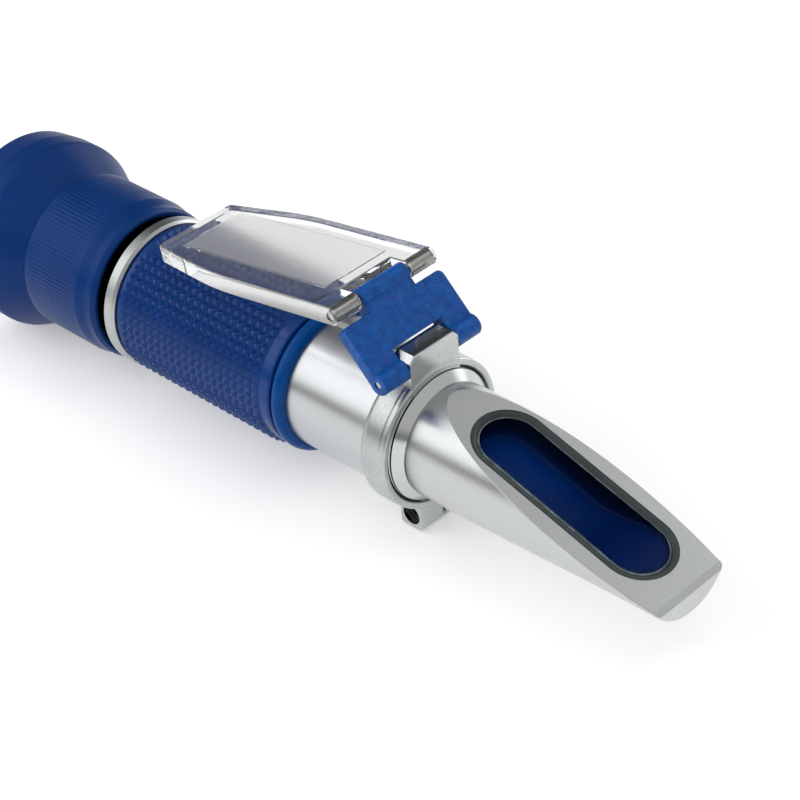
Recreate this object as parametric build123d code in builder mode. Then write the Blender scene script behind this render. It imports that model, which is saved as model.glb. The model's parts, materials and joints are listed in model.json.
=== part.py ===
from build123d import *
import math
import os

# Hand-held optical refractometer, lying on its clamp lug and its eyecup with the daylight
# plate folded back over the grip. Sizes are in millimetres.
#
# Frame: +X runs along the barrel towards the prism tip, +Z is up, and the origin is on the
# table below the middle of the instrument. Distances "from the seat" are measured along the
# optical axis from the flat joint between prism head and barrel, forward positive.

# Whole instrument
head_length = 57.8          # seat to prism tip
rim_distance = 118.6        # seat to the eyecup's rim
eyecup_radius = 20.0        # the widest round of the instrument
lug_depth = 19.4            # optical axis to the bottom of the clamp lug

seat_x = (rim_distance - head_length) / 2
axis_height = max(eyecup_radius, lug_depth)

# Clearances
running = 0.05              # radial, shaft in hole or tube in tube
bond = 0.05                 # radial, parts screwed or glued together
side_play = 0.10            # each side of a hinge part between two cheeks

# Barrel
barrel_radius = 13.0
barrel_bore = 11.5
barrel_length = 75.9
edge_break = 0.3

# Prism head
flange_radius = 12.8
flange_width = 0.4
shoulder_length = 2.0
shoulder_radius = 11.15
spigot_length = 6.0
light_bore = 7.5
light_bore_end = 15.0
face_angle = 17.17          # slope of the measuring face
face_rise = 12.49           # height of the face's plane above the axis, at the seat
mid_radius = 10.95          # radius at mid_station
mid_station = 24.0
fore_radius = 10.5          # radius at fore_station
fore_station = 42.0
tip_radius = 10.35          # radius at the tip
nose_round = 0.6
face_break = 0.15           # rounding along the edge of the measuring face
nose_bevel_top = 1.05       # bevel over the nose, along the measuring face
nose_bevel_front = 0.6      # and down the nose

# Measuring prism and its seal
window_station = 32.07      # centre of the window, from the seat
window_length = 44.1
window_width = 14.9
seal_width = 1.3
seal_depth = 2.5
seal_recess = 0.25
prism_depth = 6.0
prism_bevel = 0.2

# Clamp ring with hinge boss and split lug
ring_front = -0.4
ring_rear = -6.2
ring_crown_start = -4.4
ring_radius = 14.8
ring_rear_radius = 13.15
ring_front_round = 0.9
boss_width = 12.2
boss_top = 19.9
boss_front = 0.3
boss_rear = -4.0
boss_bevel = 1.2
casting_round = 0.25        # edges of the boss
lug_front = -0.2
lug_rear = -5.6
lug_width = 11.6
lug_split = 0.8
lug_round = 0.8

# Clamp screw
screw_station = -2.95
screw_rise = 2.8            # lug bottom to the screw's axis
screw_radius = 1.25
screw_head_radius = 1.95
screw_head_height = 2.0
screw_head_sink = 1.4
screw_end_gap = 0.6
socket_across = 1.8
socket_depth = 1.3

# Hinge
lower_pin_station = -1.7
lower_pin_height = 16.9
lower_pin_radius = 0.8
hinge_reach = 14.57         # lower pin to upper pin
link_lean = 45.0            # at rest, backwards from upright
upper_pin_radius = 1.0
link_width = 24.66
link_front = 1.03           # slab faces, measured from the line through both pins
link_back = 1.95
lower_eye_radius = 2.1
upper_eye_radius = 1.85
slot_height = 4.0           # top of the slot over the boss, from the lower pin
wide_height = 11.5          # top of the wide part, from the lower pin
tongue_width = 11.4
link_corner = 1.2
link_edge_round = 0.4
pin_inset = 0.25

# Daylight plate
plate_slope = 9.8           # at rest, downwards to the rear
plate_half_thickness = 1.8
plate_edge_break = 0.2
plate_overhang = 0.27       # plate beyond the link, each side
plate_kink = 31.9           # upper pin to the start of the taper
plate_length = 51.2         # upper pin to the free end
plate_end_width = 18.4
plate_kink_round = 60.0
plate_corner = 0.8
knuckle_gap = 12.6
notch_depth = 3.5
pad_width = 15.0
pad_start = 6.0
pad_end = 46.0
pad_height = 0.2

# Grip
bead_front = -26.5
bead_width = 3.0
bead_height = 1.77
grip_front = -29.6
grip_rear = -72.9
grip_radius = 15.35
knurl_root = 14.6           # radius of the grooves' floor and of the plain bands
knurl_front_band = 2.6      # plain band next to the bead
knurl_rear_band = 1.2       # plain band next to the trim ring
knurl_rows = 13             # rows of pyramids along the grip; the real one's are finer
knurl_count = 31            # pyramids round the grip
knurl_sink = 0.2            # how far the pyramids' feet reach into the sleeve
trim_radius = 15.45
trim_round = 0.5

# Focusing eyepiece
bush_flange_radius = 13.0
bush_flange_width = 1.0
bush_front = -66.0
bush_rear = -91.0
bush_radius = 12.4
slide_radius = 9.55         # eyepiece tube
focus_travel = 1.5          # each way
skirt_front = -78.3
skirt_rear = -99.6
skirt_radius = 16.4
skirt_nose_start = -83.3    # from here the skirt's front curves in
skirt_nose_mid = -80.6
skirt_nose_mid_radius = 15.98
skirt_nose_radius = 15.15
skirt_rear_round = 0.85
skirt_lip_round = 0.25
skirt_cavity_radius = 14.5
skirt_cavity_end = -84.0
web_front = -94.0
web_rear = -95.5
web_bore = 9.8
neck_radius = 13.2
neck_lip_radius = 13.8
neck_lip_width = 1.2
neck_rear = -104.0
neck_bore = 12.2
tube_front = -64.0
tube_rear = -102.0
tube_flange_radius = 12.0
tube_flange_width = 1.5
tube_hub_radius = 10.2
tube_bore = 8.4
tube_lip_bore = 7.5
tube_lip_width = 1.0
capture_ring_width = 2.0
guide_pin_station = -70.0
guide_pin_radius = 1.0
guide_pin_tip = 8.8
guide_pin_seat = 1.5

# Eyecup
cup_floor_rear = -105.6
cup_eye_radius = 9.0
cup_shoulder = -108.6
cup_band_end = -113.0
cup_front_radius = 15.6
cup_rim_radius = 19.3
cup_lip = 1.4
cup_shoulder_round = 3.0

# Lenses and reticle
objective_front = -9.0
objective_cell_length = 9.0
objective_radius = 9.4
objective_seat_bore = 8.6
cell_lip = 1.2
lens_seat = 0.2             # a bulging lens's edge, back from the lip that it rests on
crown_thickness = 3.2
flint_thickness = 1.8
outer_sag = 0.9
inner_sag = 1.1
retainer_width = 1.2
retainer_bore = 8.4
baffle_station = -35.0
baffle_width = 3.0
baffle_bore = 6.5
baffle_rim = 1.0
reticle_front = -54.0
reticle_cell_length = 5.0
reticle_radius = 9.4
reticle_thickness = 1.5
field_lens_thickness = 3.2
field_lens_sag = 1.3
eye_lens_thickness = 3.4
eye_lens_sag = 1.0
spacer_wall = 1.0

# Sizes that follow from others
screw_height = screw_rise - lug_depth
plate_width = link_width + 2 * plate_overhang

# Planes and axes
side = Plane(origin=(seat_x, 0, axis_height), x_dir=(1, 0, 0), z_dir=(0, -1, 0))
optical_axis = Axis((seat_x, 0, axis_height), (1, 0, 0))
face_slope = math.radians(face_angle)
face_height = face_rise - window_station * math.tan(face_slope)
face_plane = Plane(
    origin=(seat_x + window_station, 0, axis_height + face_height),
    x_dir=(math.cos(face_slope), 0, -math.sin(face_slope)),
    z_dir=(math.sin(face_slope), 0, math.cos(face_slope)),
)
lean = math.radians(link_lean)
lower_pin_at = Vector(seat_x + lower_pin_station, 0, axis_height + lower_pin_height)
link_up = Vector(-math.sin(lean), 0, math.cos(lean))
link_plane = Plane(
    origin=lower_pin_at,
    x_dir=(0, 1, 0),
    z_dir=(math.cos(lean), 0, math.sin(lean)),
)
upper_pin_at = lower_pin_at + link_up * hinge_reach
slope = math.radians(plate_slope)
plate_plane = Plane(
    origin=upper_pin_at,
    x_dir=(0, 1, 0),
    z_dir=(-math.sin(slope), 0, math.cos(slope)),
)
lower_pin_plane = Plane(origin=lower_pin_at, x_dir=(1, 0, 0), z_dir=(0, -1, 0))
upper_pin_plane = Plane(origin=upper_pin_at, x_dir=(1, 0, 0), z_dir=(0, -1, 0))
screw_plane = Plane(
    origin=(seat_x + screw_station, 0, axis_height + screw_height),
    x_dir=(1, 0, 0),
    z_dir=(0, -1, 0),
)


def cross_plane(station):
    """A plane square to the optical axis."""
    return Plane(origin=(seat_x + station, 0, axis_height), z_dir=(1, 0, 0))


def turned(points):
    """A round piece from a closed outline of (distance from the seat, radius) points."""
    with BuildPart() as piece:
        with BuildSketch(side):
            with BuildLine():
                Polyline(*points, close=True)
            make_face()
        revolve(axis=optical_axis)
    return piece


def tube(front, rear, outer, inner):
    """A plain tube or washer."""
    return turned([(front, inner), (front, outer), (rear, outer), (rear, inner)])


def lens(front, rear, radius, front_sag, rear_sag):
    """A lens whose faces bulge forward by front_sag and rearward by rear_sag at the axis.

    A negative sag is a hollow face.
    """
    with BuildPart() as piece:
        with BuildSketch(side):
            with BuildLine():
                TangentArc((front + front_sag, 0), (front, radius), tangent=(0, 1))
                Line((front, radius), (rear, radius))
                TangentArc((rear - rear_sag, 0), (rear, radius), tangent=(0, 1))
                Line((rear - rear_sag, 0), (front + front_sag, 0))
            make_face()
        revolve(axis=optical_axis)
    return piece


# Barrel: a bare tube that everything else is built on
barrel_tube = turned([
    (0, barrel_bore),
    (0, barrel_radius - edge_break),
    (-edge_break, barrel_radius),
    (-barrel_length, barrel_radius),
    (-barrel_length, barrel_bore),
])

# Prism head: a turned nose that narrows a little towards the tip, cut by the sloping measuring
# face and bevelled where that face meets the nose, with a spigot that screws into the barrel
with BuildPart() as head_housing:
    with BuildSketch(side):
        with BuildLine():
            Spline(
                (shoulder_length, shoulder_radius),
                (mid_station, mid_radius),
                (fore_station, fore_radius),
                (head_length, tip_radius),
            )
            Polyline(
                (head_length, tip_radius),
                (head_length, 0),
                (shoulder_length, 0),
                (shoulder_length, shoulder_radius),
            )
        make_face()
    revolve(axis=optical_axis)
    split(bisect_by=face_plane, keep=Keep.BOTTOM)
    measuring_face = head_housing.faces().filter_by(face_plane)[0]
    nose = head_housing.faces().sort_by(Axis.X)[-1]
    chamfer(
        nose.edges().filter_by(Axis.Y),
        nose_bevel_top,
        nose_bevel_front,
        reference=measuring_face,
    )
    nose = head_housing.faces().sort_by(Axis.X)[-1]
    fillet(nose.edges().filter_by(GeomType.CIRCLE), nose_round)
    with BuildSketch(side):
        with BuildLine():
            Polyline(
                (-spigot_length, 0),
                (-spigot_length, barrel_bore - bond),
                (0, barrel_bore - bond),
                (0, flange_radius),
                (flange_width, flange_radius),
                (shoulder_length, shoulder_radius),
                (shoulder_length, 0),
                close=True,
            )
        make_face()
    revolve(axis=optical_axis)
    measuring_face = head_housing.faces().filter_by(face_plane)[0]
    fillet(measuring_face.edges(), face_break)
    with BuildSketch(cross_plane(-spigot_length)):
        Circle(light_bore)
    extrude(amount=spigot_length + light_bore_end, mode=Mode.SUBTRACT)
    with BuildSketch(face_plane):
        SlotOverall(window_length, window_width)
    extrude(amount=-seal_depth, mode=Mode.SUBTRACT)
    with BuildSketch(face_plane):
        SlotOverall(window_length - 2 * seal_width, window_width - 2 * seal_width)
    extrude(amount=-prism_depth, mode=Mode.SUBTRACT)

prism_length = window_length - 2 * (seal_width + bond)
prism_width = window_width - 2 * (seal_width + bond)
with BuildPart() as main_prism:
    with BuildSketch(face_plane):
        SlotOverall(prism_length, prism_width)
    extrude(amount=-prism_depth)
    chamfer(main_prism.faces().filter_by(face_plane).sort_by(Axis.Z)[-1].edges(), prism_bevel)

with BuildPart() as prism_seal:
    with BuildSketch(face_plane.offset(-seal_recess)):
        SlotOverall(window_length, window_width)
        SlotOverall(prism_length, prism_width, mode=Mode.SUBTRACT)
    extrude(amount=seal_recess - seal_depth)

# Clamp ring: grips the barrel, carries the hinge on its boss and is drawn tight at its lug
with BuildPart() as clamp_ring:
    with BuildSketch(side) as clamp_section:
        with BuildLine():
            Polyline(
                (ring_rear, ring_rear_radius),
                (ring_rear, barrel_radius),
                (ring_front, barrel_radius),
                (ring_front, ring_radius),
                (ring_crown_start, ring_radius),
            )
            TangentArc(
                (ring_crown_start, ring_radius),
                (ring_rear, ring_rear_radius),
                tangent=(-1, 0),
            )
        make_face()
        front_corner = clamp_section.vertices().sort_by_distance((ring_front, ring_radius))
        fillet(front_corner[0], ring_front_round)
    revolve(axis=optical_axis)
    with BuildSketch(Plane.YZ.offset(seat_x + boss_rear)):
        with BuildLine():
            half_boss = boss_width / 2
            top = axis_height + boss_top
            Polyline(
                (-half_boss, axis_height),
                (-half_boss, top - boss_bevel),
                (-half_boss + boss_bevel, top),
                (half_boss - boss_bevel, top),
                (half_boss, top - boss_bevel),
                (half_boss, axis_height),
                close=True,
            )
        make_face()
    extrude(amount=boss_front - boss_rear)
    boss_ends = clamp_ring.faces().filter_by(Axis.X).sort_by(Axis.Z)[-2:]
    clear_of_ring = axis_height + ring_radius + casting_round
    fillet(boss_ends.edges().filter_by_position(Axis.Z, clear_of_ring, top), casting_round)
    with BuildSketch(side):
        with BuildLine():
            Polyline(
                (lug_rear, 0),
                (lug_front, 0),
                (lug_front, -lug_depth),
                (lug_rear, -lug_depth),
                close=True,
            )
        make_face()
    extrude(amount=lug_width / 2, both=True)
    lug_corners = clamp_ring.edges().filter_by(Axis.Y).group_by(Axis.Z)[0]
    fillet(lug_corners, lug_round)
    with BuildSketch(cross_plane(ring_rear - 1)):
        Circle(barrel_radius + bond)
    extrude(amount=boss_front - ring_rear + 2, mode=Mode.SUBTRACT)
    with BuildSketch(side):
        with Locations((screw_station, -lug_depth)):
            Rectangle(2 * barrel_radius, 2 * (lug_depth - barrel_bore))
    extrude(amount=lug_split / 2, both=True, mode=Mode.SUBTRACT)
    with BuildSketch(lower_pin_plane):
        Circle(lower_pin_radius + running)
    extrude(amount=boss_width, both=True, mode=Mode.SUBTRACT)
    with BuildSketch(screw_plane):
        Circle(screw_radius + bond)
    extrude(amount=lug_width, both=True, mode=Mode.SUBTRACT)
    with BuildSketch(screw_plane.offset(lug_width / 2)):
        Circle(screw_head_radius + 2 * running)
    extrude(amount=-(screw_head_sink + screw_head_height), mode=Mode.SUBTRACT)

# Clamp screw: a socket head sunk in the lug
with BuildPart() as clamp_screw:
    head_face = lug_width / 2 - screw_head_sink
    with BuildSketch(screw_plane.offset(head_face)):
        Circle(screw_head_radius)
    extrude(amount=-screw_head_height)
    with BuildSketch(screw_plane.offset(head_face - screw_head_height)):
        Circle(screw_radius)
    extrude(amount=-(lug_width - screw_head_sink - screw_head_height - screw_end_gap))
    with BuildSketch(screw_plane.offset(head_face)):
        RegularPolygon(socket_across / 2, 6, major_radius=False)
    extrude(amount=-socket_depth, mode=Mode.SUBTRACT)

# Hinge link: a moulded slab with an eye at each pin, forked over the boss at the bottom and
# narrowed to a tongue between the plate's knuckles at the top
with BuildPart() as hinge_link:
    with BuildSketch(lower_pin_plane):
        Circle(lower_eye_radius)
        with Locations(Location((0, 0), link_lean)):
            with Locations(((link_front - link_back) / 2, hinge_reach / 2)):
                Rectangle(link_front + link_back, hinge_reach)
            with Locations((0, hinge_reach)):
                Circle(upper_eye_radius)
    extrude(amount=link_width / 2, both=True)
    with BuildSketch(link_plane):
        with Locations((0, slot_height - hinge_reach)):
            Rectangle(boss_width + 2 * side_play, 2 * hinge_reach)
    extrude(amount=hinge_reach, both=True, mode=Mode.SUBTRACT)
    with BuildSketch(link_plane):
        with Locations((tongue_width / 2, wide_height)):
            Rectangle(link_width, hinge_reach, align=(Align.MIN, Align.MIN))
        with Locations((-tongue_width / 2, wide_height)):
            Rectangle(link_width, hinge_reach, align=(Align.MAX, Align.MIN))
    extrude(amount=hinge_reach, both=True, mode=Mode.SUBTRACT)
    wide_corners = hinge_link.edges().filter_by(Axis((0, 0, 0), link_plane.z_dir))
    fillet(wide_corners.group_by(Axis.Y)[0] + wide_corners.group_by(Axis.Y)[-1], link_corner)
    outer_cheeks = hinge_link.faces().filter_by(Axis.Y).sort_by(Axis.Y)
    fillet(outer_cheeks[0].edges() + outer_cheeks[-1].edges(), link_edge_round)
    with BuildSketch(lower_pin_plane):
        Circle(lower_pin_radius)
    extrude(amount=link_width, both=True, mode=Mode.SUBTRACT)
    with BuildSketch(upper_pin_plane):
        Circle(upper_pin_radius + running)
    extrude(amount=link_width, both=True, mode=Mode.SUBTRACT)

with BuildPart() as lower_pin:
    with BuildSketch(lower_pin_plane):
        Circle(lower_pin_radius)
    extrude(amount=link_width / 2 - pin_inset, both=True)

with BuildPart() as upper_pin:
    with BuildSketch(upper_pin_plane):
        Circle(upper_pin_radius)
    extrude(amount=plate_width / 2 - pin_inset, both=True)

# Daylight plate: clear, with two knuckles on the upper pin and a low frosted pad on the side
# that closes over the prism
with BuildPart() as daylight_plate:
    with BuildSketch(plate_plane.offset(-plate_half_thickness)) as plate_outline:
        with BuildLine():
            Polyline(
                (-plate_width / 2, 0),
                (-plate_width / 2, plate_kink),
                (-plate_end_width / 2, plate_length),
                (plate_end_width / 2, plate_length),
                (plate_width / 2, plate_kink),
                (plate_width / 2, 0),
                close=True,
            )
        make_face()
        fillet(plate_outline.vertices().group_by(Axis.Y)[1], plate_kink_round)
        fillet(plate_outline.vertices().group_by(Axis.Y)[-1], plate_corner)
    extrude(amount=2 * plate_half_thickness)
    with BuildSketch(upper_pin_plane):
        Circle(plate_half_thickness)
    extrude(amount=plate_width / 2, both=True)
    with BuildSketch(plate_plane):
        with Locations((0, notch_depth)):
            Rectangle(knuckle_gap, plate_width, align=(Align.CENTER, Align.MAX))
    extrude(amount=2 * plate_half_thickness, both=True, mode=Mode.SUBTRACT)
    with BuildSketch(upper_pin_plane):
        Circle(upper_pin_radius)
    extrude(amount=plate_width, both=True, mode=Mode.SUBTRACT)
    plate_top = daylight_plate.faces().filter_by(plate_plane).group_by(Axis.Z)[-1]
    plate_under = daylight_plate.faces().filter_by(plate_plane).group_by(Axis.Z)[0]
    chamfer(plate_top.edges() + plate_under.edges(), plate_edge_break)
    with BuildSketch(plate_plane.offset(plate_half_thickness)):
        with Locations((0, pad_start)):
            Rectangle(pad_width, pad_end - pad_start, align=(Align.CENTER, Align.MIN))
    extrude(amount=pad_height)

# Grip: a soft sleeve between a round bead and a bright trim ring
with BuildPart() as front_bead:
    with BuildSketch(side):
        with BuildLine():
            bead_rear = bead_front - bead_width
            SagittaArc((bead_front, barrel_radius), (bead_rear, barrel_radius), -bead_height)
            Line((bead_rear, barrel_radius), (bead_front, barrel_radius))
        make_face()
    revolve(axis=optical_axis)

# One row of pyramids along the top of the grip: where a ridged bar and a roof cross
knurl_front = grip_front - knurl_front_band
knurl_rear = grip_rear + knurl_rear_band
knurl_pitch = (knurl_front - knurl_rear) / knurl_rows
knurl_foot = knurl_root - knurl_sink
knurl_half_width = knurl_root * math.tan(math.pi / knurl_count)
foot_half_width = knurl_half_width * (grip_radius - knurl_foot) / (grip_radius - knurl_root)
ridges = [(knurl_rear, knurl_foot), (knurl_front, knurl_foot), (knurl_front, knurl_root)]
for row in range(knurl_rows):
    ridges.append((knurl_front - (row + 0.5) * knurl_pitch, grip_radius))
    ridges.append((knurl_front - (row + 1) * knurl_pitch, knurl_root))
with BuildPart() as knurl_row:
    with BuildSketch(side):
        with BuildLine():
            Polyline(*ridges, close=True)
        make_face()
    extrude(amount=foot_half_width, both=True)
    with BuildSketch(cross_plane(knurl_front)):
        with BuildLine():
            Polyline(
                (grip_radius, 0),
                (knurl_foot, foot_half_width),
                (knurl_foot, -foot_half_width),
                close=True,
            )
        make_face()
    extrude(amount=knurl_rear - knurl_front, mode=Mode.INTERSECT)

# The sleeve, with the rows set round it close enough that their feet run together
with BuildPart() as grip_sleeve:
    with BuildSketch(side):
        with BuildLine():
            Polyline(
                (grip_front, barrel_radius),
                (grip_front, knurl_root),
                (knurl_front, knurl_root),
                (knurl_front, knurl_root - knurl_sink / 2),
                (knurl_rear, knurl_root - knurl_sink / 2),
                (knurl_rear, knurl_root),
                (grip_rear, knurl_root),
                (grip_rear, barrel_radius),
                close=True,
            )
        make_face()
    revolve(axis=optical_axis)
    turns = [step * 360 / knurl_count for step in range(knurl_count)]
    add([knurl_row.part.rotate(optical_axis, turn) for turn in turns])

trim_ring = turned([
    (grip_rear, barrel_radius),
    (grip_rear, trim_radius - trim_round),
    (grip_rear - trim_round, trim_radius),
    (-barrel_length + trim_round, trim_radius),
    (-barrel_length, trim_radius - trim_round),
    (-barrel_length, barrel_radius),
])

# Objective: a cemented pair in a cell behind the prism head
objective_rear = objective_front - objective_cell_length
crown_front = objective_front - cell_lip - lens_seat
crown_rear = crown_front - crown_thickness
flint_rear = crown_rear - flint_thickness
objective_retainer_front = flint_rear - lens_seat
objective_cell = turned([
    (objective_front, objective_seat_bore),
    (objective_front, barrel_bore - bond),
    (objective_rear, barrel_bore - bond),
    (objective_rear, objective_radius + bond),
    (objective_front - cell_lip, objective_radius + bond),
    (objective_front - cell_lip, objective_seat_bore),
])
objective_crown = lens(crown_front, crown_rear, objective_radius, outer_sag, inner_sag)
objective_flint = lens(crown_rear, flint_rear, objective_radius, -inner_sag, inner_sag / 2)
objective_retainer = tube(
    objective_retainer_front,
    objective_retainer_front - retainer_width,
    objective_radius,
    retainer_bore,
)

# Baffle: stops stray light halfway along the barrel
light_baffle = turned([
    (baffle_station, baffle_bore),
    (baffle_station, barrel_bore - bond),
    (baffle_station - baffle_width, barrel_bore - bond),
    (baffle_station - baffle_width, barrel_bore - baffle_rim),
    (baffle_station - baffle_rim, barrel_bore - baffle_rim),
    (baffle_station - baffle_rim, baffle_bore),
])

# Reticle: the scale disc at the eyepiece's focus
reticle_rear = reticle_front - reticle_cell_length
disc_front = reticle_front - cell_lip
disc_rear = disc_front - reticle_thickness
reticle_cell = turned([
    (reticle_front, objective_seat_bore),
    (reticle_front, barrel_bore - bond),
    (reticle_rear, barrel_bore - bond),
    (reticle_rear, reticle_radius + bond),
    (disc_front, reticle_radius + bond),
    (disc_front, objective_seat_bore),
])
reticle_disc = tube(disc_front, disc_rear, reticle_radius, 0)
reticle_retainer = tube(disc_rear, disc_rear - retainer_width, reticle_radius, retainer_bore)

# Focus bush: closes the barrel's rear end, guides the eyepiece tube inside and carries the
# focusing ring on its coarse thread outside
with BuildPart() as focus_bush:
    add(turned([
        (bush_front, slide_radius + running),
        (bush_front, barrel_bore - bond),
        (-barrel_length, barrel_bore - bond),
        (-barrel_length, bush_flange_radius),
        (-barrel_length - bush_flange_width, bush_flange_radius),
        (-barrel_length - bush_flange_width, bush_radius),
        (bush_rear, bush_radius),
        (bush_rear, slide_radius + running),
    ]).part)
    with BuildSketch(Plane.XY.offset(axis_height)):
        with Locations((seat_x + guide_pin_station, 0)):
            Circle(guide_pin_radius)
    extrude(amount=barrel_radius, mode=Mode.SUBTRACT)

with BuildPart() as guide_pin:
    with BuildSketch(Plane.XY.offset(axis_height + guide_pin_tip)):
        with Locations((seat_x + guide_pin_station, 0)):
            Circle(guide_pin_radius)
    extrude(amount=slide_radius + guide_pin_seat - guide_pin_tip)

# Eyepiece tube: slides in the bush, held from turning by the guide pin in its slot
tube_flange_front = web_rear - running
tube_flange_rear = tube_flange_front - tube_flange_width
with BuildPart() as eyepiece_tube:
    add(turned([
        (tube_front, tube_lip_bore),
        (tube_front, slide_radius),
        (tube_flange_front, slide_radius),
        (tube_flange_front, tube_flange_radius),
        (tube_flange_rear, tube_flange_radius),
        (tube_flange_rear, tube_hub_radius),
        (tube_rear, tube_hub_radius),
        (tube_rear, tube_bore),
        (tube_front - tube_lip_width, tube_bore),
        (tube_front - tube_lip_width, tube_lip_bore),
    ]).part)
    with BuildSketch(Plane.XY.offset(axis_height)):
        with Locations((seat_x + guide_pin_station, 0)):
            SlotCenterToCenter(
                2 * (focus_travel + running),
                2 * (guide_pin_radius + running),
            )
    extrude(amount=barrel_radius, mode=Mode.SUBTRACT)

field_front = tube_front - tube_lip_width
field_rear = field_front - field_lens_thickness
eye_rear = tube_rear + retainer_width
eye_front = eye_rear + eye_lens_thickness
lens_radius = tube_bore - bond
field_lens = lens(field_front, field_rear, lens_radius, -field_lens_sag / 3, -field_lens_sag / 2)
lens_spacer = tube(field_rear, eye_front, lens_radius, lens_radius - spacer_wall)
eye_lens = lens(eye_front, eye_rear, lens_radius, -eye_lens_sag / 2, -eye_lens_sag / 4)
eye_retainer = tube(eye_rear, tube_rear, lens_radius, lens_radius - spacer_wall)

# Focusing ring: a skirt with a threaded land inside, and a lipped neck for the eyecup
with BuildPart() as focus_ring:
    with BuildSketch(side) as ring_section:
        with BuildLine():
            ThreePointArc(
                (skirt_front, skirt_nose_radius),
                (skirt_nose_mid, skirt_nose_mid_radius),
                (skirt_nose_start, skirt_radius),
            )
            Polyline(
                (skirt_nose_start, skirt_radius),
                (skirt_rear, skirt_radius),
                (skirt_rear, neck_radius),
                (neck_rear + neck_lip_width, neck_radius),
                (neck_rear + neck_lip_width, neck_lip_radius),
                (neck_rear, neck_lip_radius),
                (neck_rear, neck_bore),
                (web_rear, neck_bore),
                (web_rear, web_bore),
                (web_front, web_bore),
                (web_front, bush_radius + running),
                (skirt_cavity_end, bush_radius + running),
                (skirt_cavity_end, skirt_cavity_radius),
                (skirt_front, skirt_cavity_radius),
                (skirt_front, skirt_nose_radius),
            )
        make_face()
        fillet(ring_section.vertices().group_by(Axis.X)[-1], skirt_lip_round)
        rear_corner = ring_section.vertices().sort_by_distance((skirt_rear, skirt_radius))
        fillet(rear_corner[0], skirt_rear_round)
    revolve(axis=optical_axis)

capture_front = tube_flange_rear - running
capture_ring = tube(
    capture_front, capture_front - capture_ring_width, neck_bore - bond, tube_hub_radius + running
)

# Eyecup: soft rubber, snapped over the neck's lip, flared to shut out the light
with BuildPart() as eyecup:
    with BuildSketch(side) as cup_section:
        with BuildLine():
            Polyline(
                (skirt_rear, cup_front_radius),
                (skirt_rear, neck_radius),
                (neck_rear + neck_lip_width, neck_radius),
                (neck_rear + neck_lip_width, neck_lip_radius),
                (neck_rear, neck_lip_radius),
                (neck_rear, cup_eye_radius),
                (cup_floor_rear, cup_eye_radius),
                (-rim_distance, cup_rim_radius - cup_lip),
                (-rim_distance, cup_rim_radius),
                (cup_band_end, eyecup_radius),
                (cup_shoulder, eyecup_radius),
                close=True,
            )
        make_face()
        cup_corners = cup_section.vertices()
        shoulder = cup_corners.sort_by_distance((cup_shoulder, eyecup_radius))[0]
        band_end = cup_corners.sort_by_distance((cup_band_end, eyecup_radius))[0]
        fillet([shoulder, band_end], cup_shoulder_round)
        fillet(cup_section.vertices().group_by(Axis.X)[0], cup_lip * 0.45)
    revolve(axis=optical_axis)

pieces = {
    "barrel_tube": barrel_tube,
    "head_housing": head_housing,
    "main_prism": main_prism,
    "prism_seal": prism_seal,
    "clamp_ring": clamp_ring,
    "clamp_screw": clamp_screw,
    "hinge_link": hinge_link,
    "lower_hinge_pin": lower_pin,
    "upper_hinge_pin": upper_pin,
    "daylight_plate": daylight_plate,
    "front_bead": front_bead,
    "grip_sleeve": grip_sleeve,
    "trim_ring": trim_ring,
    "objective_cell": objective_cell,
    "objective_crown": objective_crown,
    "objective_flint": objective_flint,
    "objective_retainer": objective_retainer,
    "light_baffle": light_baffle,
    "reticle_cell": reticle_cell,
    "reticle_disc": reticle_disc,
    "reticle_retainer": reticle_retainer,
    "focus_bush": focus_bush,
    "guide_pin": guide_pin,
    "eyepiece_tube": eyepiece_tube,
    "field_lens": field_lens,
    "lens_spacer": lens_spacer,
    "eye_lens": eye_lens,
    "eye_retainer": eye_retainer,
    "focus_ring": focus_ring,
    "capture_ring": capture_ring,
    "eyecup": eyecup,
}
os.makedirs("parts", exist_ok=True)
for name, piece in pieces.items():
    piece.part.label = name
    export_step(piece.part, f"parts/{name}.step")
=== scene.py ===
import json

import bmesh
import bpy
import numpy as np
from mathutils import Matrix, Vector


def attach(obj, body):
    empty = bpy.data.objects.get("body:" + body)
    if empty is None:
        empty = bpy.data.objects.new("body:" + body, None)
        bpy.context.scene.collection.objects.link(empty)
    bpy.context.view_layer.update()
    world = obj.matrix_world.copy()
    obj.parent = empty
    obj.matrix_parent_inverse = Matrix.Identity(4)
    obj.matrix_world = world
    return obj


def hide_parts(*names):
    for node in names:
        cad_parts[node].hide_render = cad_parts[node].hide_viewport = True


# Hand-held optical refractometer, its optical axis level and the eyecup's lowest line on the
# floor. Everything below is worked out in millimetres in the frame of the CAD model and put
# into the meshes in metres. A "station" is a distance along the optical axis from the joint
# between head and barrel, forward positive.

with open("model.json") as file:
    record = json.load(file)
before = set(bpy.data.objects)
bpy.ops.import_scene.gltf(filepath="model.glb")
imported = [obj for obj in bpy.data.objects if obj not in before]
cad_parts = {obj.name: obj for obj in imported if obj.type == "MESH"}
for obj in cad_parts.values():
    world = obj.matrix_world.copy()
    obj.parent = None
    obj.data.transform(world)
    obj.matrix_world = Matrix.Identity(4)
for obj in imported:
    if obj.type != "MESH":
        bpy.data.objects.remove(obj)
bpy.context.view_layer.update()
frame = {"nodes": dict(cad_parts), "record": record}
node = frame["nodes"]

MM = 0.001
SEAT = 30.4                  # x of station 0
AXIS = 20.0                  # height of the optical axis
BARREL_RADIUS = 13.0

# The measuring face slopes down to the tip; its window is a slot with round ends
FACE_RISE = 12.49            # over the axis, at station 0
FACE_SLOPE = np.radians(17.17)
WINDOW_STATION = 32.07       # the window's middle
WINDOW_LENGTH = 44.1
WINDOW_WIDTH = 14.9
SEAL_WIDTH = 1.3
PRISM_WIDTH = WINDOW_WIDTH - 2 * SEAL_WIDTH

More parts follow.
